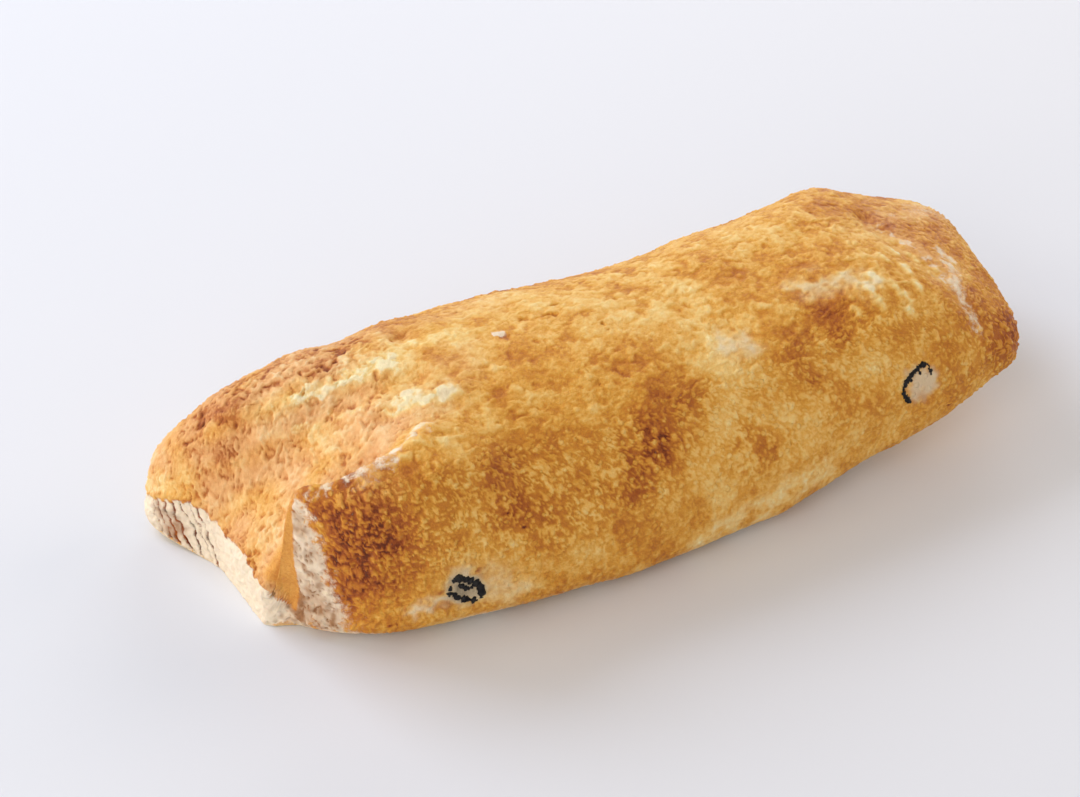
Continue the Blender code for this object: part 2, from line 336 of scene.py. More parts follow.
cube = subdivided_cube(FACETS)
skin = bpy.data.meshes.new("loaf_skin")
cube.to_mesh(skin)
cube.free()
move_to(skin, loaf_form(places_of(skin)))
crust, outward = places_of(skin), normals_of(skin)
x, y, z = crust.T
facing_end, facing_side, facing_up = -outward[:, 0], -outward[:, 1], outward[:, 2]


def lumps(size, seed=0.0, stretch=(1.0, 1.0, 1.0), over=crust):
    """Smooth noise over the skin, about -0.5 to 0.5, with lumps of this size in millimetres."""
    cloud = over / (size * np.array(stretch)) + seed
    return np.array([noise.noise(place) for place in cloud.tolist()])


def cells(size, seed=0.0, over=crust):
    """Pack the skin with cells of this size: each point's distance from the middle of its own
    cell, as a share of the size, and a number from 0 to 1 that belongs to the cell."""
    found = [noise.voronoi(place) for place in (over / size + seed).tolist()]
    distance = np.array([near[0] for near, _ in found])
    middles = np.array([places[0] for _, places in found])
    own = np.sin(middles @ np.array([12.99, 78.23, 37.72])) * 437.5
    return distance, own - np.floor(own)


def bent(amount, size, seed):
    """How far smooth noise pushes each point of the skin aside, so that marks on it wriggle."""
    return amount * np.stack([lumps(size, seed + step) for step in (0.0, 31.0, 67.0)], axis=-1)


wriggling = crust + bent(3.2, 2.6, 83.0)
ragged = crust + bent(5.5, 6.0, 11.3) + bent(3.0, 2.0, 24.6)


def beside(run, reach, over=ragged):
    """1 along a run of places on the skin, or at one place, fading to 0 past this reach."""
    run = np.array(run, dtype=float)
    if run.ndim == 1:
        distance = np.linalg.norm(over - run, axis=1)
    else:
        distance = np.full(len(over), np.inf)
        for start, end in zip(run, run[1:]):
            step = end - start
            t = np.clip((over - start) @ step / (step @ step), 0.0, 1.0)
            distance = np.minimum(distance, np.linalg.norm(over - start - t[:, None] * step,
                                                           axis=1))
    return np.exp(-(distance / reach) ** 2)


# Loaf: the relief of its skin
# Gas under the skin left broad lumps, the hands that pinched and folded it left creases, and the
# oven raised fine blisters on its shoulders. The pinched end is wrinkled where it was pressed.
BROAD_LUMPS = ((34.0, 1.1), (13.0, 0.45))
CREASE_WIDTH = 3.5
SIDE_HEIGHT, TOP_HEIGHT, FOOT_HEIGHT = 13.0, 26.0, 6.0
FOLDS = (
    (1.1, ((-114, 20), (-95, 9), (-74, 0))),
    (1.1, ((-108, 10), (-94, -2), (-79, -10))),
    (1.0, ((-84, -11), (-72, -15), (-58, -18))),
    (-1.0, ((-104, 16), (-84, 2), (-66, -6))),
    (1.0, ((-116, -28), (-105, -33), (-95, -38), (-85, -36), (-73, -30))),
    (-1.3, ((98, 8), (99, -13), (103, -23), (105, -31), (108, -42))),
)
SWELLS = (
    # place in plan, radius, height (a hollow's is negative)
    (-131, 41, 8.0, 2.2),
    (-120, 27, 4.0, -1.2),
    (-119, 36, 8.0, -0.9),
    (-88, 29, 7.0, 1.0),
    (-74, 31, 8.0, -1.6),
    (-60, 14, 4.0, -1.6),
    (-10, 26, 9.0, -0.6),
    (30, 24, 12.0, -0.6),
    (95, 30, 11.0, 2.8),
    (132, 34, 14.0, -3.0),
)
OLIVES = {
    # the middle of its face in the crust, and the way that it faces
    "olive_left": (np.array([-75.7, -54.2, 17.7]), np.array([-0.12, -0.99, 0.0])),
    "olive_right": (np.array([81.8, -49.6, 33.4]), np.array([0.06, -0.98, 0.16])),
}


def in_plan(run, reach):
    """1 along a run in plan, fading to 0 past this reach."""
    distance = np.full(len(crust), np.inf)
    for (ax, ay), (bx, by) in zip(run, run[1:]):
        step = np.array([bx - ax, by - ay], dtype=float)
        from_start = crust[:, :2] - (ax, ay)
        t = np.clip(from_start @ step / (step @ step), 0.0, 1.0)
        distance = np.minimum(distance, np.linalg.norm(from_start - t[:, None] * step, axis=1))
    return np.exp(-(distance / reach) ** 2)


def on_olive(name, across, up):
    """The place this far to the right of an olive's middle and above it, in its own plane."""
    middle, facing = OLIVES[name]
    rightwards = np.cross((0.0, 0.0, 1.0), facing)
    rightwards /= np.linalg.norm(rightwards)
    return middle + across * rightwards + up * np.cross(facing, rightwards)


on_top = np.clip((z - SIDE_HEIGHT) / (TOP_HEIGHT - SIDE_HEIGHT), 0.0, 1.0)
above_foot = np.clip(z / FOOT_HEIGHT, 0.0, 1.0)
height = sum(depth * lumps(size) for size, depth in BROAD_LUMPS)
for rise, run in FOLDS:
    height += on_top * rise * in_plan(run, CREASE_WIDTH)
for swell_x, swell_y, radius, rise in SWELLS:
    height += on_top * rise * np.exp(-((x - swell_x) ** 2 + (y - swell_y) ** 2) / radius ** 2)
height *= above_foot

# Where each kind of skin is: 1 there and 0 elsewhere. The limits are places in millimetres, or
# how squarely the skin faces the end, the side or straight up. Noise makes some of them ragged.
CUT_RUN = (-100.0, -112.0)
FACE_FACING, FACE_RUN, FACE_FADE = (0.45, 0.90), (-23.0, -25.5), (2.8, -2.2)
FACE_EDGE, FACE_LEAN, FACE_RAGGED = 105.0, 0.2, 3.0
LIP_FACING, LIP_RUN, LIP_EDGE, LIP_RAGGED = (0.35, 0.60), (-27.5, -25.0), (0.6, -0.6), 1.4
VALLEY_RUN = (-27.0, -24.0)
WALL_START, WALL_END, WALL_RISE = (-29.5, -27.5), (-16.0, -20.0), (0.5, 3.5)
UNDER_FACING, FRONT_FACING, CROWN_FACING = (-0.3, -0.8), (0.15, 0.45), (0.78, 0.97)
LOW_FRONT = (32.0, 14.0)
SLOPE_START, SLOPE_SIDE = (-50.0, -85.0), (-32.0, -24.0)
CORNER_MIDDLE, CORNER_REACH = (-101.0, -44.0, 34.0), 16.0
FEWEST_BLISTERS = 0.15

clumps = lumps(3.2, 5.0)
lip_height = through(LIP, 1, y)
near_cut = ramp(*CUT_RUN, x)
post_face = (near_cut * ramp(*FACE_FACING, facing_end + 0.2 * clumps + 0.2 * lumps(1.4, 15.0))
             * ramp(*FACE_FADE, x + FACE_EDGE + FACE_LEAN * z + FACE_RAGGED * clumps)
             * ramp(*FACE_RUN, y))
above_lip = z - lip_height + LIP_RAGGED * lumps(2.5, 8.0)
tongue = near_cut * ramp(*LIP_FACING, facing_end) * ramp(*LIP_RUN, y)
lip_face = tongue * ramp(*LIP_EDGE, above_lip)
valley = near_cut * ramp(*VALLEY_RUN, y) * (1 - lip_face)
wall = (near_cut * ramp(*WALL_START, y) * ramp(*WALL_END, y)
        * ramp(*WALL_RISE, z - lip_height))
under = ramp(*UNDER_FACING, facing_up)
dusty = np.clip(post_face + lip_face + under, 0.0, 1.0)
corner = beside(CORNER_MIDDLE, CORNER_REACH) * (1 - post_face)
front = ramp(*FRONT_FACING, facing_side) * (1 - near_cut)
low_front = front * ramp(*LOW_FRONT, z)
crown = ramp(*CROWN_FACING, facing_up)
pinched_slope = ramp(*SLOPE_START, x) * ramp(*SLOPE_SIDE, y) * (1 - dusty)
blistered = np.clip(1.0 - 0.7 * crown - 0.45 * low_front - 0.8 * pinched_slope,
                    FEWEST_BLISTERS, 1.0)
blistered *= (1 - dusty) * (1 - 0.5 * corner) * (1 - wall)

# Blisters, wrinkles, strokes and pits: each pattern from its real size in millimetres, and then
# how high it stands on each kind of skin
RICE_SIZE, BLISTER_SIZE, STROKE_SIZE, STROKE_STRETCH = 1.5, 2.9, 1.1, (1.0, 1.0, 4.0)
CREPE_SIZE, FINE_CREPE_SIZE, SCALE_SIZE, GRAIN_SIZE = 3.4, 1.7, 1.4, 1.2
RIPPLE_SIZE, RIPPLE_STRETCH = 2.4, (1.0, 1.0, 1.8)
BUMP_SIZE, PIT_SPACING, POCK_SPACING = 7.0, 11.0, 1.7
DOME_HEIGHT, RICE_HEIGHT, STROKE_HEIGHT, CREPE_HEIGHT, SCALE_DEPTH = 0.42, 0.26, 0.26, 0.34, 0.42
SLOPE_RICE, SLOPE_GRAINS, BUMP_HEIGHT, GRAIN_HEIGHT = 0.20, 0.12, 0.25, 0.14
RIPPLE_HEIGHT, CORNER_RICE, PIT_DEPTH = 0.55, 0.35, 0.8

rice = ramp(0.02, 0.26, lumps(RICE_SIZE, 2.0, over=wriggling))
distance, own = cells(BLISTER_SIZE, 3.0, over=crust + 0.5 * (wriggling - crust))
dome = ramp(0.46, 0.22, distance) * ramp(0.30, 0.60, own)
# The colour paints these raised blister tops lighter: partly their paler skin, partly painted
# highlight
spots = np.maximum(dome, 0.75 * rice)
strokes = lumps(STROKE_SIZE, 2.0, STROKE_STRETCH, over=crust + 0.4 * (wriggling - crust))
wrinkles = (lumps(CREPE_SIZE, 6.0, (2.2, 1.0, 1.0), over=wriggling)
            + 0.7 * lumps(FINE_CREPE_SIZE, 7.0, (2.0, 1.0, 1.0), over=wriggling))
scales = ramp(0.16, 0.42, lumps(SCALE_SIZE, 4.0, (1.6, 1.0, 2.6), over=wriggling))
ripples = lumps(RIPPLE_SIZE, 16.0, RIPPLE_STRETCH, over=wriggling)
grains = lumps(GRAIN_SIZE, 1.0)
fine = blistered * (DOME_HEIGHT * dome + RICE_HEIGHT * rice)
fine += STROKE_HEIGHT * low_front * strokes
fine += CREPE_HEIGHT * crown * (1 - pinched_slope) * wrinkles
fine += pinched_slope * (CREPE_HEIGHT * wrinkles - SCALE_DEPTH * scales + SLOPE_RICE * rice
                         + SLOPE_GRAINS * grains)
fine += BUMP_HEIGHT * lumps(BUMP_SIZE, 14.0) * above_foot
fine += GRAIN_HEIGHT * grains * above_foot
fine += corner * (RIPPLE_HEIGHT * ripples + CORNER_RICE * rice)

# Pits are dented into the crown and the slope, and the colour below paints them darker as painted
# shade
distance, own = cells(PIT_SPACING, 21.0, over=wriggling)
pit = np.clip(1 - (distance / (0.03 + 0.08 * own)) ** 2, 0.0, 1.0) * (own > 0.5) * (1 - dusty)
fine -= PIT_DEPTH * pit * np.clip(crown + pinched_slope, 0.0, 1.0)
HOLES = (
    # place, reach, depth: holes and slits in the top where bubbles burst, and a slit as the flake's
    # shadow
    ((-59.8, 15.5, 57.5), 1.7, 1.1), ((-62.5, 14.6, 57.3), 1.2, 0.8),
    (((-25.2, 4.4, 59), (-23.4, 3.2, 59)), 0.9, 0.9),
    (((-18.6, 2.4, 59), (-15.6, 1.6, 59)), 0.9, 0.8),
    (((-37, -1.4, 59.3), (-32.5, -2.2, 59.3)), 0.8, 0.8),
    ((-119.6, 26.2, 39.4), 1.5, 0.8), ((-117.4, 27.6, 41.5), 1.0, 0.6),
    ((on_olive("olive_left", 4.8, 2.8), on_olive("olive_left", 5.5, 5.3),
      on_olive("olive_left", 6.4, 7.4)), 0.5, 0.5),
)
# Where the holes are: the colour below paints them darker, as painted shade in their hollows
hole_shade = np.zeros(len(crust))
for run, reach, depth in HOLES:
    here = beside(run, reach, over=crust + 0.6 * (wriggling - crust))
    fine -= depth * here
    hole_shade = np.maximum(hole_shade, here)

# The post's floured face is pocked and crumbly. The lip's is pressed into slanting wrinkles,
# and the crust stands out a little along its upper edge.
LIP_WRINKLES = ((29.5, 0.6), (26.6, 0.9), (23.4, 1.0), (19.2, 0.9), (16.2, 0.45), (13.4, 0.8),
                (10.2, 0.3), (32.6, 0.5))
WRINKLE_SLANT, WRINKLE_WIDTH, WRINKLE_BEND = 0.45, 0.42, 1.4
BRIM_LEVEL, BRIM_WIDTH, BRIM_HEIGHT = 1.0, 0.9, 0.4
distance, own = cells(POCK_SPACING, 31.0, over=wriggling)
pock = np.clip(1 - (distance / (0.20 + 0.32 * own)) ** 2, 0.0, 1.0) * (own > 0.35)
fine += post_face * (0.7 * lumps(2.2, 33.0) + 0.6 * grains - 0.7 * pock)
wrinkle = np.zeros(len(crust))
for place, depth in LIP_WRINKLES:
    off = y - place - WRINKLE_SLANT * (z - 10.0) + WRINKLE_BEND * lumps(3.5, place)
    wrinkle = np.maximum(wrinkle, depth * np.exp(-(off / WRINKLE_WIDTH) ** 2))
fine -= lip_face * (0.35 + 0.9 * wrinkle)
fine += lip_face * (0.5 * lumps(1.9, 35.0) + 0.35 * grains)
brim = tongue * np.exp(-((above_lip - BRIM_LEVEL) / BRIM_WIDTH) ** 2)
fine += BRIM_HEIGHT * brim

# The dough sinks in around each olive, and is smooth there
DIMPLE_REACH, SMOOTH_REACH, DIMPLE_DEPTH = 5.5, 6.5, 0.35
for name, (middle, _) in OLIVES.items():
    fine *= 1 - 0.7 * beside(middle, SMOOTH_REACH, over=crust)
    fine -= DIMPLE_DEPTH * beside(middle, DIMPLE_REACH, over=crust)

height += fine * (1 - wall)
crust_now = crust + outward * height[:, None]
crust_now[:, 2] = np.maximum(crust_now[:, 2], 0.0)

# Loaf: where it browned, and where flour and raw dough show
# The heat came from above and left darker patches on the blistered shoulder, the square corner
# and the folded tip. The skin stayed pale where it was stretched thin or lay in a crease.
BROWNED = (
    # place or run, reach, how much darker
    ((-58, -46, 49), 8, 0.26), ((-56, -53, 40), 9, 0.24), ((-48, -56, 32), 9, 0.30),
    ((-64, -53, 38), 7, 0.15), ((-78, -49, 51), 8, 0.16), ((-35, -52, 42), 12, 0.16),
    ((-13, -49, 44), 7, 0.38), ((-9, -51, 41), 6, 0.16),
    (((-15, -54, 37), (-24, -57, 32)), 7, 0.28),
    (((2, -38, 51.5), (0, -31, 55)), 8, 0.14), ((4, -43, 48), 7, 0.14),
    ((21, -54, 34), 6, 0.32), ((27, -55, 30), 4, 0.12), ((65, -31, 54.5), 7.5, 0.34),
    ((56, -33, 53), 6.5, 0.24), ((46, -37, 51.5), 5, 0.30), ((61, -37, 51), 5, 0.18),
    ((45, -45, 46), 4, 0.24), ((54, -50, 37), 5, 0.12),
    ((113, -30, 47), 4.5, 0.40), ((117, -42, 36), 12, 0.22), ((128, -12, 43), 8, 0.26),
    ((128, 10, 44), 6, 0.24), ((103, 4, 54), 5, 0.22), ((117, -4, 49), 8, 0.32),
    ((86, 15, 59), 8, 0.10), ((44, 17, 58), 5, 0.18), ((118, 20, 47), 6, 0.14),
    ((-103, -42, 49), 8, 0.24), ((-103, -45, 38), 10, 0.30), ((-105, -42, 22), 11, 0.24),
    ((-110, -37, 46), 5, 0.14), ((-94, -50, 40), 9, 0.16), ((-87, -52, 30), 9, 0.18),
    ((-82, -53, 42), 8, 0.12), ((-100, -46, 46), 12, 0.12), ((-112, -19, 20), 7, 0.10),
    ((-119, 27, 40), 6, 0.20), ((-115, 28, 44), 6, 0.16), ((-130, 31, 25), 5, 0.12),
    (((-93, 28, 50), (-79, 26, 53), (-60, 24, 56), (-26, 26, 55), (8, 24, 55)), 4, 0.10),
    ((-51, -8, 59), 5, 0.14), (((-93, -50, 14), (-60, -57, 8), (-33, -59, 7)), 3, 0.10),
)
PALER = (
    # place or run, reach, how much paler, how much raw dough shows
    ((20, -23, 56), 18, 0.08, 0.0), ((40, -52, 34), 11, 0.08, 0.0),
    (((59, -20, 57.6), (67, -22, 57.7), (75, -25, 57.2)), 4.2, 0.30, 0.60),
    ((28, -31, 54.5), 4.5, 0.25, 0.55), ((23.5, -31, 54), 3, 0.2, 0.5),
    ((32, -34, 53), 2.5, 0.15, 0.5),
    ((-70, -11.5, 58), 3.2, 0.40, 0.5), ((-62, -18, 59), 4.0, 0.34, 0.6),
    (((-96, 9.5, 50.5), (-90, 6.7, 53), (-79, 5, 57), (-68, 3.5, 58)), 2.6, 0.46, 0.1),
    (((-98, 2, 46), (-88, -4, 52), (-80, -9, 55)), 1.6, 0.32, 0.0),
    (((-79, -14.4, 55), (-70, -17, 58), (-60, -19, 59)), 2.0, 0.44, 0.1),
    (((-76, 12, 57), (-58, 8, 58.5), (-44, 8, 59)), 3.0, 0.2, 0.0),
    (((5, -57, 8), (16.5, -57, 14), (30, -55, 14), (46, -52, 15)), 4.0, 0.30, 0.15),
    (((-60, -57, 3), (-20, -59, 3), (20, -57, 4)), 2.5, 0.16, 0.1),
    ((on_olive("olive_left", 7.5, 0.5), on_olive("olive_left", 15.0, -4.5)), 5.0, 0.26, 0.45),
    ((on_olive("olive_left", -4.5, -1.5), on_olive("olive_left", -9.5, -3.2),
      on_olive("olive_left", -15.5, -5.2)), 1.9, 0.2, 0.9),
    (on_olive("olive_left", 0.0, 6.0), 3.2, 0.2, 0.6),
)
OVALS = (
    # single larger blisters, pale and long across the loaf
    (95.2, -13.4, 55.7), (93.3, -22.8, 55.4), (76.8, -28.8, 56.2), (77.3, -34.2, 53.7),
    (85.0, -38.1, 50.8), (87.1, -33.7, 53.1), (92.9, -30.6, 53.4), (84.9, -30.9, 54.7),
    (69.0, -33.5, 53.8), (101.0, -16.0, 53.0), (89.0, -17.0, 56.5), (80.5, -25.0, 57.0),
)
OVAL_LENGTH, OVAL_REACH = 2.8, 1.2
BLUSHED = (
    # the tan and pink places where dry flour baked into the skin
    (((102, 4, 54), (104, -8, 53), (107, -20, 50), (107, -30, 47), (107, -39, 40)), 5, 0.6),
    (((-93, 26, 50), (-60, 20, 57), (-26, 22, 57)), 6, 0.4), ((-97, -38, 55), 9, 0.4),
    ((-50, -6, 60), 8, 0.4), (((112, 9, 51), (134, 14, 41)), 7, 0.6),
)
FLOURED = (
    # place or run, reach, how much
    (((-112.5, -32, 49), (-108.5, -34.2, 51), (-105, -35, 52.4), (-101, -37, 54.2)), 1.4, 0.62),
    (((-99, -38.2, 54.9), (-94, -37.7, 56.4), (-89, -36.6, 57)), 3.0, 0.72),
    (((-88, -35, 57), (-81, -31.5, 57.8), (-73.5, -28.0, 58)), 2.3, 0.66),
    (((99, 4, 54), (103, -5, 53), (105, -13, 52.4), (105.6, -21, 51), (104.5, -26, 50)), 1.6, 0.62),
    (((114.7, -12, 48.6), (112.7, -19, 48.8), (107.5, -30, 48.3), (105.8, -38, 45),
      (106.3, -43, 42)), 2.8, 0.74),
    (((120, 16, 47), (126.7, 15.5, 44.4), (131.7, 13, 42)), 2.4, 0.4),
    (((105, 14, 52), (112, 9, 51)), 3.0, 0.3), (((124, 22, 44), (134, 16, 41)), 3.0, 0.4),
    (on_olive("olive_left", -0.5, 6.6), 2.5, 0.3),
    (((-36, 0.3, 59.4), (-33, -0.4, 59.4)), 1.2, 1.6),
)
EDGE_CRACK = ((-121.8, -18, 14.5), (-120.8, -23.2, 13.6), (-119.1, -24.8, 10.8), (-118, -25.6, 8))
GREY_STREAK = (on_olive("olive_left", -7.0, 0.3), on_olive("olive_left", -4.8, 1.8))
MOST_BROWNED = 0.56         # marks that overlap come no darker than this
BACK_RUN, BACK_PATCH, BACK_BROWNED = (22.0, 34.0), 24.0, 0.5
NARROW = 4.0                # marks that reach less than this only wriggle, and don't break up
OVAL_PALER, OVAL_HEIGHT = 0.48, 0.5
DOUGH_REACH, STAIN_REACH, STAINS = 6.6, 5.0, (("olive_left", 0.75), ("olive_right", 0.12))
PLAIN_BAKE = 0.47           # 0 is raw dough and 1 the darkest brown
WALL_BAKE, WALL_BLUSH = 0.55, 0.3
UNDERSIDE_RUN, UNDERSIDE_LEFT = (60.0, 120.0), 0.45    # less flour towards the folded end

browned = sum(amount * beside(run, reach) for run, reach, amount in BROWNED)
elsewhere = ramp(*BACK_RUN, y) * (1 - near_cut) * (1 - under)
browned += elsewhere * BACK_BROWNED * ramp(0.05, 0.45, lumps(BACK_PATCH, 55.0, over=ragged))
browned = MOST_BROWNED * (1 - np.exp(-browned / MOST_BROWNED))
paler, raw = np.zeros(len(crust)), np.zeros(len(crust))
for run, reach, amount, dough in PALER:
    here = beside(run, reach, over=wriggling if reach < NARROW else ragged)
    paler += amount * here
    raw += dough * here
for oval in OVALS:
    half = np.array([0.2, -0.5 * OVAL_LENGTH, -0.3])
    here = beside((oval - half, oval + half), OVAL_REACH, over=crust + 0.2 * (wriggling - crust))
    paler += OVAL_PALER * here
    crust_now += outward * OVAL_HEIGHT * here[:, None]
for name, (middle, _) in OLIVES.items():
    raw += (0.85 + 0.5 * clumps) * ramp(0.25, 0.75, beside(middle, DOUGH_REACH, over=wriggling))
raw += 0.25 * ramp(5.0, 1.5, z) * (1 - lip_face)

crack = beside(EDGE_CRACK, 0.8, over=crust)
scorched = beside((-131.5, 26.0, 6.5), 6.0)
thinned = under * mix(1.0, UNDERSIDE_LEFT, ramp(*UNDERSIDE_RUN, x))
# Besides browning, this table holds painted shade in pits and holes, and part painted highlight on
# blisters
BAKED_AND_PAINTED_LIGHT = (
    # pattern or kind of skin, how much darker it is (lighter where negative)
    (lumps(26.0, 51.0), 0.15), (lumps(9.0, 52.0), 0.14), (browned, 1.0), (paler, -1.0),
    # blister tops lighter than the skin between: partly paler skin, partly painted highlight
    (blistered * (1 - spots), 0.07), (blistered * (1 - spots) * browned, 0.16),
    (blistered * spots, -0.13), (blistered * spots * browned, -0.50),
    (low_front * strokes, 0.16), (crown * wrinkles, -0.22), (ramp(60.0, 100.0, x) * front, 0.05),
    # pits and holes darker: painted shade in their hollows
    (pit + hole_shade, 0.35), (pinched_slope * scales, 0.22), (pinched_slope * wrinkles, -0.14),
    # rice specks lighter: partly paler skin, partly painted highlight on their raised tops
    (pinched_slope * rice, -0.08), (pinched_slope, -0.04),
    (corner * ripples, 0.18), (corner * rice, -0.14), (corner, 0.12),
    (valley * (1 - ramp(20.0, 36.0, z)), -0.14),
    (beside((-123, 17, 28), 12.0), 0.20), (beside((-98, 18, 52), 14.0), 0.10),
    (crack, 0.12), (brim, 0.18), (post_face, 0.20), (post_face * pock, 0.5),
    (lip_face, 0.50), (lip_face * crack, -0.45), (beside(GREY_STREAK, 0.6, over=crust), 0.45),
)
DUSTED = (
    # pattern or kind of skin, how much flour lies on it
    (corner * ramp(0.1, 0.5, lumps(1.6, 71.0)), 0.12),
    (beside((-109, -40, 8), 7.0) * (0.8 + clumps), 0.5),
    (post_face, 1.35), (post_face * pock, -0.55), (post_face * lumps(2.2, 72.0), 0.3),
    (post_face * grains, 0.3),
    (lip_face, 1.05), (lip_face * wrinkle, -1.1), (lip_face * scorched, -0.25),
    (thinned, 0.35), (thinned * lumps(14.0, 73.0), 0.6), (crack, -0.8),
)
TOASTED = (
    # pattern or kind of skin, how far its flour has browned
    (post_face, 0.34), (post_face * lumps(3.0, 74.0), 0.8), (post_face * pock, 0.8),
    (post_face * ramp(18.0, 8.0, z), 0.5), (lip_face * scorched, 0.9),
)
bake_and_painted_light = PLAIN_BAKE + sum(amount * where for where, amount in BAKED_AND_PAINTED_LIGHT)
toasted = sum(amount * where for where, amount in TOASTED)
flour = sum(amount * where for where, amount in DUSTED)
flour += sum(amount * (0.95 + 0.7 * clumps) * beside(run, reach, over=wriggling)
             for run, reach, amount in FLOURED)
blush = sum(amount * beside(run, reach) for run, reach, amount in BLUSHED)
blush += pinched_slope * (0.78 + 0.8 * lumps(8.0, 61.0, (2.5, 1.0, 1.0))) - 1.6 * paler
stained = sum(share * beside(OLIVES[name][0], STAIN_REACH, over=wriggling)
              for name, share in STAINS)
flour, bake_and_painted_light, blush = flour * (1 - wall), mix(bake_and_painted_light, WALL_BAKE, wall), mix(blush, WALL_BLUSH, wall)
skin_marks = {"bake_and_painted_light": bake_and_painted_light, "blush": blush, "flour": flour, "raw": raw, "blistered": blistered,
              "toasted": toasted, "stained": stained}


# Loaf: its mesh and its finish
# Baked wheat crust: dry starch over browned sugars, with a soft sheen where the skin is tight
# and none where flour lies on it.

# Sizes in millimetres: specks and the flour's grit are coarser than real ones, so that they show
SPECK_SIZE, CLOUD_SIZE, SWIRL_SIZE, DOT_SPACING, GRIT_SIZE = 0.9, 4.0, 2.2, 2.3, 0.55
DOT_SHIFT = 1.5             # how far the dots are jostled out of their cells
GRIT_HEIGHT, SPECK_HEIGHT, DOT_HEIGHT = 0.25, 0.5, 0.35
SPECK_BAKED, CLOUD_BAKED, SPECK_DUSTED = 0.34, 0.22, 1.3
MOST_DOUGH, MOST_FLOUR = 0.90, 0.94
GOLD = ((0.0, "#fbeec2"), (0.15, "#f8dc98"), (0.30, "#f3ca7a"), (0.42, "#ecb75c"),
        (0.52, "#dfa03e"), (0.62, "#d08a30"), (0.72, "#c07629"), (0.84, "#a95b22"),
        (0.94, "#873f17"), (1.0, "#642b10"))
TAN = ((0.0, "#f8e6c6"), (0.20, "#f2cd98"), (0.40, "#ebb77c"), (0.55, "#dfa468"),
       (0.70, "#c07840"), (0.85, "#9a5229"), (1.0, "#642c12"))
RAW_DOUGH, OLIVE_STAIN, DRY_FLOUR, BROWN_FLOUR = "#e6d1b0", "#77705f", "#f7e9d2", "#a97f5c"
BARE_ROUGHNESS, FLOURED_ROUGHNESS = 0.50, 0.85
CRUST_IOR, CRUST_SPECULAR = 1.45, 0.25
# light that sinks in: its share, how far it goes in millimetres, and red, green and blue's parts
LIGHT_SHARE, LIGHT_REACH, LIGHT_PARTS = 0.08, 0.8, (1.0, 0.45, 0.2)


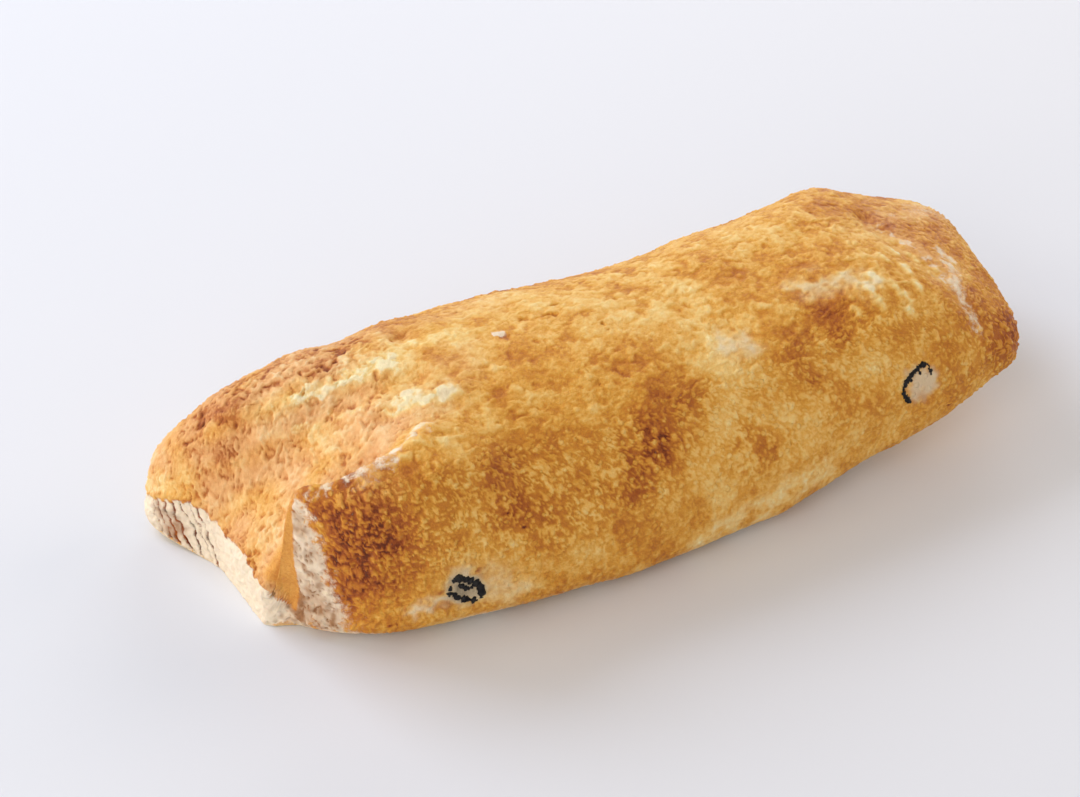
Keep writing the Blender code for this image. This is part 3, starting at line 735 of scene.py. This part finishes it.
def baked_crust():
    """Wheat crust: gold over brown, in spots finer than a blister, with dull white flour.

    Map Range takes in the range from socket 1 to 2 and gives out the range from 3 to 4."""
    made, tree, shader = new_material("baked crust")
    places = add_node(tree, "ShaderNodeTexCoord").outputs["Object"]
    marks = {name: add_node(tree, "ShaderNodeAttribute", attribute_name=name).outputs["Fac"]
             for name in skin_marks}
    speck = add_node(tree, "ShaderNodeTexNoise", {"Vector": places, "Scale": 1 / (SPECK_SIZE * MM),
                                                  "Detail": 3.0, "Roughness": 0.65,
                                                  "Distortion": 0.8})
    cloud = add_node(tree, "ShaderNodeTexNoise", {"Vector": places,
                                                  "Scale": 1 / (CLOUD_SIZE * MM),
                                                  "Detail": 3.0})
    centred = add_node(tree, "ShaderNodeMath", {0: speck.outputs["Fac"], 1: 0.5},
                       operation="SUBTRACT").outputs[0]
    centred_cloud = add_node(tree, "ShaderNodeMath", {0: cloud.outputs["Fac"], 1: 0.5},
                             operation="SUBTRACT").outputs[0]
    # Blisters smaller than the skin's facets: light dots about 1 mm wide, strongest on brown
    # Their lightness is partly paler skin and partly painted highlight on the raised tops
    swirl = add_node(tree, "ShaderNodeTexNoise", {"Vector": places,
                                                  "Scale": 1 / (SWIRL_SIZE * MM)})
    jostled = add_node(tree, "ShaderNodeVectorMath", {0: swirl.outputs["Color"],
                                                      1: [DOT_SHIFT * MM] * 3, 2: places},
                       operation="MULTIPLY_ADD")
    packed = add_node(tree, "ShaderNodeTexVoronoi", {"Vector": jostled.outputs[0],
                                                     "Scale": 1 / (DOT_SPACING * MM)})
    dot = add_node(tree, "ShaderNodeMapRange", {0: packed.outputs["Distance"], 1: 0.46, 2: 0.20},
                   interpolation_type="SMOOTHSTEP").outputs[0]
    raised = add_node(tree, "ShaderNodeMapRange", {0: packed.outputs["Color"], 1: 0.35, 2: 0.65,
                                                   4: marks["blistered"]}).outputs[0]
    dot = add_node(tree, "ShaderNodeMath", {0: dot, 1: raised}, operation="MULTIPLY").outputs[0]
    how_brown = add_node(tree, "ShaderNodeMapRange", {0: marks["bake_and_painted_light"], 1: 0.40, 2: 0.95,
                                                      3: 0.07, 4: 0.36}).outputs[0]
    lighter = add_node(tree, "ShaderNodeMath", {0: dot, 1: how_brown},
                       operation="MULTIPLY").outputs[0]
    browning_with_painted_light = add_node(tree, "ShaderNodeMath", {0: marks["bake_and_painted_light"], 1: lighter},
                        operation="SUBTRACT").outputs[0]
    for pattern, share in ((centred, SPECK_BAKED), (centred_cloud, CLOUD_BAKED)):
        browning_with_painted_light = add_node(tree, "ShaderNodeMath", {0: pattern, 1: share, 2: browning_with_painted_light},
                            operation="MULTIPLY_ADD").outputs[0]
    tints = []
    for stops in (GOLD, TAN):
        tint = add_node(tree, "ShaderNodeValToRGB", {"Fac": browning_with_painted_light})
        elements = tint.color_ramp.elements
        elements[0].position, elements[0].color = stops[0][0], linear(stops[0][1])
        elements[1].position, elements[1].color = stops[-1][0], linear(stops[-1][1])
        for position, colour in stops[1:-1]:
            elements.new(position).color = linear(colour)
        tints.append(tint.outputs["Color"])

    # Tan skin, raw dough, olive stain and flour lie over the gold in turn, each by its share
    tanned = add_node(tree, "ShaderNodeClamp", {0: marks["blush"]}).outputs[0]
    dough_share = add_node(tree, "ShaderNodeClamp", {0: marks["raw"], 2: MOST_DOUGH}).outputs[0]
    dusting = add_node(tree, "ShaderNodeMath", {0: centred, 1: SPECK_DUSTED, 2: marks["flour"]},
                       operation="MULTIPLY_ADD").outputs[0]
    cover = add_node(tree, "ShaderNodeMapRange", {0: dusting, 1: 0.15, 2: 0.90, 4: MOST_FLOUR},
                     interpolation_type="SMOOTHSTEP").outputs[0]
    toasted = add_node(tree, "ShaderNodeClamp", {0: marks["toasted"]}).outputs[0]
    dust = add_node(tree, "ShaderNodeMix", {0: toasted, 6: linear(DRY_FLOUR),
                                            7: linear(BROWN_FLOUR)}, data_type="RGBA").outputs[2]
    colour = tints[0]
    for share, layer in ((tanned, tints[1]), (dough_share, linear(RAW_DOUGH)),
                         (marks["stained"], linear(OLIVE_STAIN)), (cover, dust)):
        colour = add_node(tree, "ShaderNodeMix", {0: share, 6: colour, 7: layer},
                          data_type="RGBA").outputs[2]
    tree.links.new(colour, shader.inputs["Base Color"])

    rough = add_node(tree, "ShaderNodeMapRange", {0: cover, 3: BARE_ROUGHNESS,
                                                  4: FLOURED_ROUGHNESS}).outputs[0]
    tree.links.new(rough, shader.inputs["Roughness"])
    grit = add_node(tree, "ShaderNodeTexNoise", {"Vector": places, "Scale": 1 / (GRIT_SIZE * MM),
                                                 "Detail": 2.0, "Roughness": 0.6})
    tooth = add_node(tree, "ShaderNodeBump", {"Height": grit.outputs["Fac"], "Strength": 0.6,
                                              "Distance": GRIT_HEIGHT * MM})
    tooth = add_node(tree, "ShaderNodeBump", {"Height": speck.outputs["Fac"], "Strength": 0.7,
                                              "Distance": SPECK_HEIGHT * MM,
                                              "Normal": tooth.outputs["Normal"]})
    tooth = add_node(tree, "ShaderNodeBump", {"Height": dot, "Strength": 0.8,
                                              "Distance": DOT_HEIGHT * MM,
                                              "Normal": tooth.outputs["Normal"]})
    tree.links.new(tooth.outputs["Normal"], shader.inputs["Normal"])
    shader.inputs["IOR"].default_value = CRUST_IOR
    shader.inputs["Specular IOR Level"].default_value = CRUST_SPECULAR
    shader.inputs["Subsurface Weight"].default_value = LIGHT_SHARE
    shader.inputs["Subsurface Radius"].default_value = LIGHT_PARTS
    shader.inputs["Subsurface Scale"].default_value = LIGHT_REACH * MM
    return made


move_to(skin, (crust_now - ORIGIN) * MM)
for mark, values in skin_marks.items():
    skin.attributes.new(mark, "FLOAT", "POINT").data.foreach_set(
        "value", values.astype(np.float32))
skin.shade_smooth()
loaf = bpy.data.objects.new("loaf_crust", skin)
bpy.context.scene.collection.objects.link(loaf)
loaf.data.materials.append(baked_crust())
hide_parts("loaf")
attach(loaf, "root")


# Olives
# Two black olives that were folded into the dough, each cut by the edge of the sheet, so that
# their skins show as black rings in the long side, with grey dough in and around them.
OLIVE_SKINS = {
    # each strip of skin: its width, and its run to the right of the olive's middle and up
    "olive_left": (
        (2.6, ((-3.3, 3.4), (-1.4, 4.2), (0.8, 3.3), (3.1, 1.7), (4.9, -0.3), (5.6, -2.6),
                (5.4, -4.9))),
        (1.8, ((-1.6, 1.8), (0.2, 0.6), (1.3, -0.5), (3.0, -0.3))),
        (1.6, ((-3.7, 2.1), (-4.0, 0.2), (-4.2, -1.8))),
        (2.0, ((-2.9, -0.5), (-2.1, -2.5), (0.1, -3.7), (2.1, -4.8), (4.2, -5.4))),
    ),
    "olive_right": (
        (1.8, ((3.3, 4.9), (1.3, 5.5), (-0.7, 4.9), (-2.6, 3.8), (-4.6, 2.3), (-5.9, 0.4),
                (-6.3, -1.1), (-5.3, -3.5), (-3.6, -5.7))),
        (1.1, ((3.3, 4.7), (3.9, 3.0), (4.2, 1.3))),
        (1.0, ((-0.5, 4.6), (0.0, 3.4), (0.4, 2.4))),
        (1.0, ((-4.4, 2.0), (-3.6, 1.9), (-2.7, 1.7))),
    ),
}
STRIP_STEPS = 8             # places worked out between two points of a run
STRIP_SUNK = 0.20           # how deep a strip's middle lies, as a share of its width
STRIP_RAGGED = 0.42         # how much a strip's width varies
STRIP_CLOSENESS = 2.6       # how many swells there are to a millimetre
STRIP_TIP = 0.55            # how wide its tips are, as a share of its width
MOTTLE_SIZE = 0.8
OLIVE_BLACK, OLIVE_GREY = "#08080a", "#1f1e22"
OLIVE_ROUGHNESS, OLIVE_SPECULAR = 0.50, 0.30


def black_olive():
    """Ripe olive skin: nearly black, tight and a little oily."""
    made, tree, shader = new_material("black olive")
    places = add_node(tree, "ShaderNodeTexCoord").outputs["Object"]
    mottle = add_node(tree, "ShaderNodeTexNoise", {"Vector": places, "Detail": 3.0,
                                                   "Scale": 1 / (MOTTLE_SIZE * MM)})
    tint = add_node(tree, "ShaderNodeValToRGB", {"Fac": mottle.outputs["Fac"]})
    tint.color_ramp.elements[0].position, tint.color_ramp.elements[1].position = 0.4, 0.75
    tint.color_ramp.elements[0].color = linear(OLIVE_BLACK)
    tint.color_ramp.elements[1].color = linear(OLIVE_GREY)
    tree.links.new(tint.outputs["Color"], shader.inputs["Base Color"])
    dent = add_node(tree, "ShaderNodeBump", {"Height": mottle.outputs["Fac"], "Strength": 0.7,
                                             "Distance": 0.3 * MM})
    tree.links.new(dent.outputs["Normal"], shader.inputs["Normal"])
    shader.inputs["Roughness"].default_value = OLIVE_ROUGHNESS
    shader.inputs["Specular IOR Level"].default_value = OLIVE_SPECULAR
    return made


def strip_of_skin(name, width, run):
    """Lay one strip along its run on the crust: a tube of uneven width, half sunk."""
    run = np.array(run, dtype=float)
    corners = np.vstack([2 * run[0] - run[1], run, 2 * run[-1] - run[-2]])
    curve = bpy.data.curves.new(name, "CURVE")
    curve.dimensions = "3D"
    curve.bevel_depth = width / 2 * MM
    curve.bevel_resolution = 3
    curve.use_fill_caps = True
    spline = curve.splines.new("POLY")
    total = (len(run) - 1) * STRIP_STEPS + 1
    spline.points.add(total - 1)
    for number, point in enumerate(spline.points):
        piece = min(number // STRIP_STEPS, len(run) - 2)
        t = number / STRIP_STEPS - piece
        before, start, end, after = corners[piece:piece + 4]
        across, up = 0.5 * (2 * start + (end - before) * t
                            + (2 * before - 5 * start + 4 * end - after) * t ** 2
                            + (3 * start - before - 3 * end + after) * t ** 3)
        place = Vector((on_olive(name, across, up) - ORIGIN) * MM)
        _, on_crust, normal, _ = loaf.closest_point_on_mesh(place)
        point.co = (*(on_crust - normal * width * STRIP_SUNK * MM), 1.0)
        uneven = noise.noise((across * STRIP_CLOSENESS, up * STRIP_CLOSENESS, width * 9))
        from_tip = min(number, total - 1 - number) / STRIP_STEPS
        point.radius = (1 + STRIP_RAGGED * 2 * uneven) * min(1.0, STRIP_TIP + from_tip)
    swept = bpy.data.objects.new(name, curve)
    bpy.context.scene.collection.objects.link(swept)
    shape = bpy.data.meshes.new_from_object(swept.evaluated_get(
        bpy.context.evaluated_depsgraph_get()))
    bpy.data.objects.remove(swept)
    return shape


olive_skin = black_olive()
for name, strips in OLIVE_SKINS.items():
    bm = bmesh.new()
    for width, run in strips:
        shape = strip_of_skin(name, width, run)
        bm.from_mesh(shape)
        bpy.data.meshes.remove(shape)
    mesh = bpy.data.meshes.new(name + "_skin")
    bm.to_mesh(mesh)
    bm.free()
    mesh.shade_smooth()
    mesh.materials.clear()
    mesh.materials.append(olive_skin)
    olive = bpy.data.objects.new(name + "_skin", mesh)
    bpy.context.scene.collection.objects.link(olive)
    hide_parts(name)
    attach(olive, "root")
